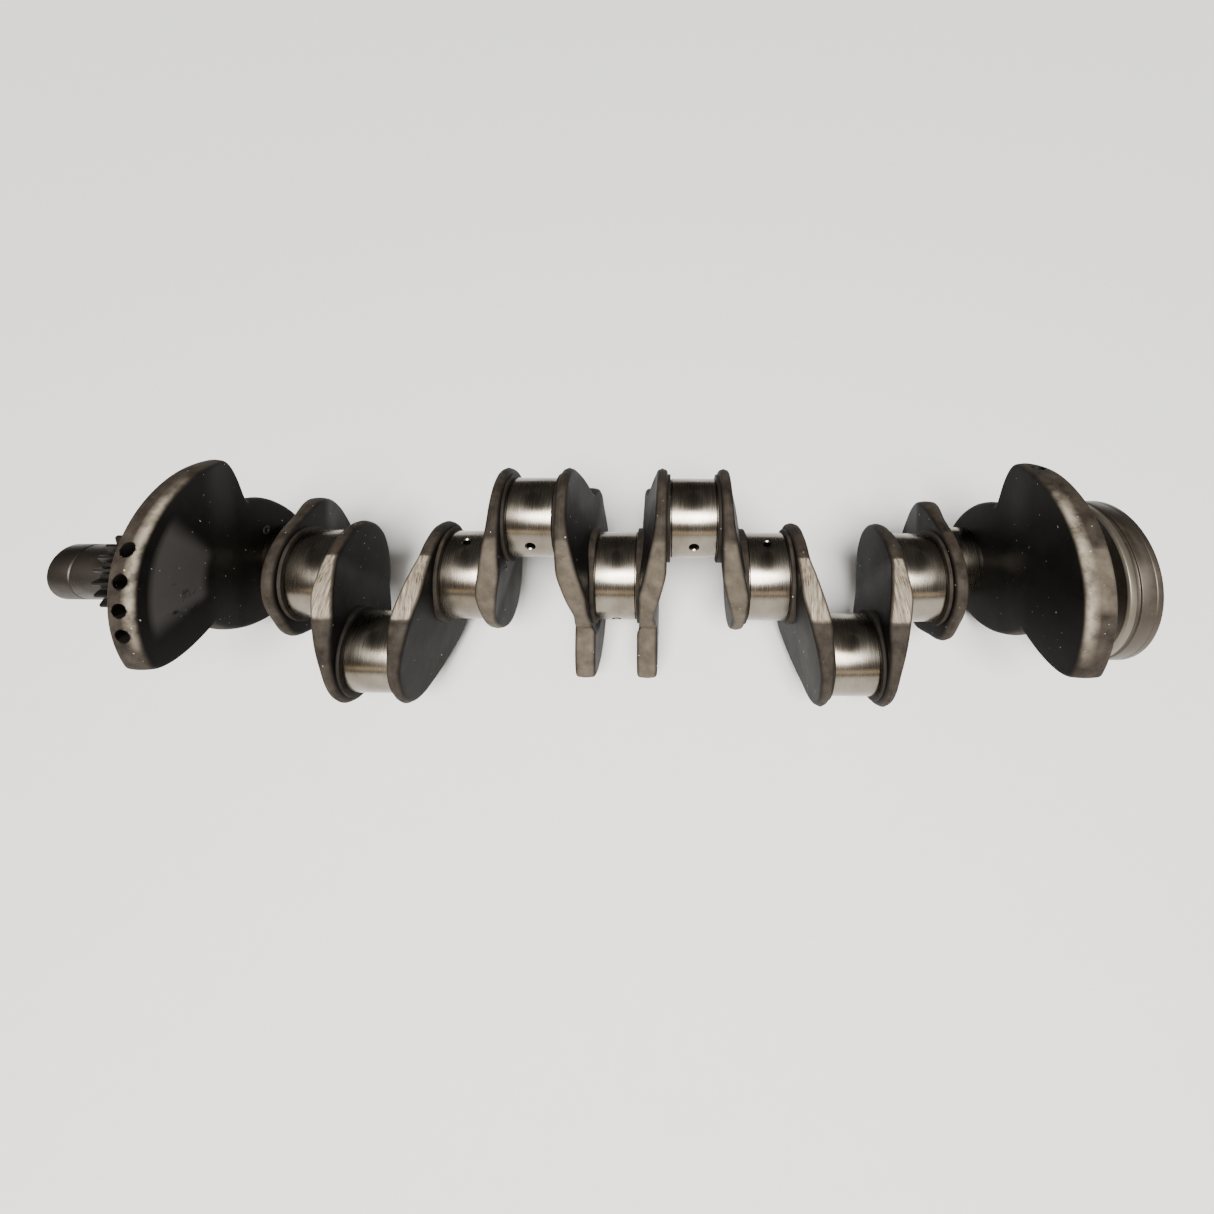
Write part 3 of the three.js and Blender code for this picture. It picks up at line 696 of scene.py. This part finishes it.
flange_low, flange_high = (c.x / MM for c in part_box("flywheel_flange"))
FLANGE_R, BEARING_R = 62.9, 26.1
bearing_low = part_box("pilot_bearing_outer_ring")[0].x / MM
flange_profile = [
    (flange_low + 0.1, 30), (flange_low + 0.1, FLANGE_R - 1.6), (flange_low + 1.5, FLANGE_R),
    (flange_low + 5.9, FLANGE_R), (flange_low + 6.3, FLANGE_R - 1.4), (flange_low + 9.4, FLANGE_R - 1.4),
    (flange_low + 9.9, FLANGE_R - 0.2), (flange_high - 6.2, FLANGE_R - 0.2),
    (flange_high - 5.8, FLANGE_R - 0.5), (flange_high - 5.4, FLANGE_R - 0.2),
    (flange_high - 1.3, FLANGE_R - 0.3), (flange_high - 0.1, FLANGE_R - 1.6),
    (flange_high - 0.1, BEARING_R + 1), (flange_high - 1.1, BEARING_R),
    (bearing_low - 0.2, BEARING_R), (bearing_low - 0.2, 0.4),
]
flange = to_mesh("flange", *lathe(rounded(flange_profile, 0.3), 144, False))
bolt_profile = [
    (flange_high - 20, 0.2), (flange_high - 17, BOLT_HOLE_R), (flange_high - 0.9, BOLT_HOLE_R),
    (flange_high + 1, BOLT_HOLE_R + 1.6),
]
tool, tool_faces = lathe(bolt_profile, 36, False)
for k in range(BOLT_HOLES):
    turn = math.radians(THROW_ANGLE[0] + 360 / BOLT_HOLES * k)
    y, z = BOLT_CIRCLE_R * math.cos(turn), BOLT_CIRCLE_R * math.sin(turn)
    flange = cut_out(flange, tool + np.array([0, y, z]), tool_faces)
finish_piece("flange_look", flange, "turned_end", ["flywheel_flange"], sharp=30)

# ---- pilot bearing ----
ring_low, ring_high = (c.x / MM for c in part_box("pilot_bearing_outer_ring"))
ring_mid = (ring_low + ring_high) / 2


def race(inner, outer, sign):
    """A bearing ring's closed profile, its groove for the balls inside it (sign 1) or outside it (-1)."""
    x0, x1 = ring_low + 0.1, ring_high - 0.1
    turns = np.linspace(-0.62, 0.62, 9)
    arc = [(ring_mid + GROOVE_R * math.sin(t), BALL_CIRCLE_R + sign * GROOVE_R * math.cos(t)) for t in turns]
    if sign > 0:
        return [(x0, outer), (x1, outer), (x1, inner), *arc[::-1], (x0, inner)]
    return [(x0, inner), (x0, outer), *arc, (x1, outer), (x1, inner)]


outer_ring = to_mesh("outer_ring", *lathe(race(22.3, 25.95, 1), 96, True))
inner_ring = to_mesh("inner_ring", *lathe(race(12.55, 16.2, -1), 96, True))
finish_piece("outer_ring_look", outer_ring, "race_steel", ["pilot_bearing_outer_ring"])
finish_piece("inner_ring_look", inner_ring, "race_steel", ["pilot_bearing_inner_ring"], "inner_ring")

balls = bmesh.new()
for k in range(BALLS):
    turn = math.radians(360 / BALLS * k)
    y, z = BALL_CIRCLE_R * MM * math.cos(turn), BALL_CIRCLE_R * MM * math.sin(turn)
    spot = Matrix.Translation((ring_mid * MM, y, z))
    bmesh.ops.create_uvsphere(balls, u_segments=20, v_segments=12, radius=BALL_R * MM, matrix=spot)
cage_points, cage_faces = lathe([(ring_mid - 2.1, 18.6), (ring_mid + 2.1, 18.6), (ring_mid + 2.1, 19.9),
                                 (ring_mid - 2.1, 19.9)], 72, True)
balls.from_mesh(to_mesh("cage", cage_points, cage_faces))
cage = bpy.data.meshes.new("ball_cage")
balls.to_mesh(cage)
balls.free()
finish_piece("ball_cage_look", cage, "race_steel", ["pilot_bearing_ball_cage"], "ball_cage")
for side in ("front", "rear"):
    node = f"pilot_bearing_{side}_seal"
    low, high = (c.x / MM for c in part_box(node))
    x0, x1 = low + 0.05, high - 0.05
    dip = ((low + high) / 2 + 0.2, 19)
    seal_profile = [(x0, 16.9), (x1, 16.9), (x1, 18.2), dip, (x1, 19.8), (x1, 22.0), (x0, 22.0)]
    finish_piece(f"{side}_seal_look", to_mesh(node, *lathe(seal_profile, 96, True)), "seal_rubber", [node])

# ---- floor, light and camera ----
low_corner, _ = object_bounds()
floor_z = low_corner[2]
floor_mesh = bpy.data.meshes.new("floor")
reach = 24.0
corners = [(x * reach, y * reach, floor_z) for x, y in ((-1, -1), (1, -1), (1, 1), (-1, 1))]
floor_mesh.from_pydata(corners, [], [(0, 1, 2, 3)])
floor = bpy.data.objects.new("floor", floor_mesh)
bpy.context.scene.collection.objects.link(floor)
paper = Shader("pale_floor")
grain = paper.noise(60, 5, 0.6)
paper.set(Base_Color=paper.mix(grain, (0.86, 0.86, 0.85), (0.90, 0.90, 0.89)), Roughness=0.75)
floor.data.materials.append(paper.material)
floor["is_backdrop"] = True

world = bpy.context.scene.world or bpy.data.worlds.new("studio")
bpy.context.scene.world = world
world.use_nodes = True
background = world.node_tree.nodes["Background"]
background.inputs["Color"].default_value = (0.80, 0.77, 0.73, 1)
background.inputs["Strength"].default_value = 0.10


def light(name, at, aim, size, power, colour):
    """A rectangular lamp in metres and watts, turned to its aim."""
    lamp = bpy.data.lights.new(name, "AREA")
    lamp.shape = "RECTANGLE"
    lamp.size, lamp.size_y = size
    lamp.energy = power
    lamp.color = colour
    o = bpy.data.objects.new(name, lamp)
    bpy.context.scene.collection.objects.link(o)
    o.location = at
    o.rotation_euler = (Vector(aim) - Vector(at)).to_track_quat("-Z", "Y").to_euler()
    o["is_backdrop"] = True


light("flash", (0.05, -0.50, 0.74), (0, 0, 0), (0.5, 0.12), 5, (1.0, 0.96, 0.90))
light("low_warm", (0.0, -0.95, 0.20), (0, 0, 0), (1.6, 0.16), 1.6, (1.0, 0.82, 0.58))

SUN_DOWN = 52  # degrees below level, from the camera's side
sun = bpy.data.lights.new("soft_sun", "SUN")
sun.energy, sun.angle, sun.color = 8.0, math.radians(30), (1.0, 0.985, 0.96)
sun_lamp = bpy.data.objects.new("soft_sun", sun)
bpy.context.scene.collection.objects.link(sun_lamp)
sun_lamp.rotation_euler = (math.radians(90 - SUN_DOWN), 0, 0)
sun_lamp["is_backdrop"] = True

CAMERA_AT_MM = (40.5, -266.3, 397.1)
CAMERA_TURN, CAMERA_DOWN, CAMERA_ROLL = 0.278, 43.8, 0.146  # degrees
LENS_MM, SENSOR_MM = 16.98, 36
SHIFT_X, SHIFT_Y = -0.0495, -0.1295

lens = bpy.data.cameras.new("camera")
lens.lens, lens.sensor_width = LENS_MM, SENSOR_MM
lens.shift_x, lens.shift_y = SHIFT_X, SHIFT_Y
lens.clip_start, lens.clip_end = 0.01, 50
lens.dof.use_dof = False
camera = bpy.data.objects.new("camera", lens)
bpy.context.scene.collection.objects.link(camera)
pose = Matrix.Translation(Vector(CAMERA_AT_MM) * MM)
pose = pose @ Matrix.Rotation(math.radians(CAMERA_TURN), 4, "Z")
pose = pose @ Matrix.Rotation(math.radians(90 - CAMERA_DOWN), 4, "X")
camera.matrix_world = pose @ Matrix.Rotation(math.radians(CAMERA_ROLL), 4, "Z")
bpy.context.scene.camera = camera
camera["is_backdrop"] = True
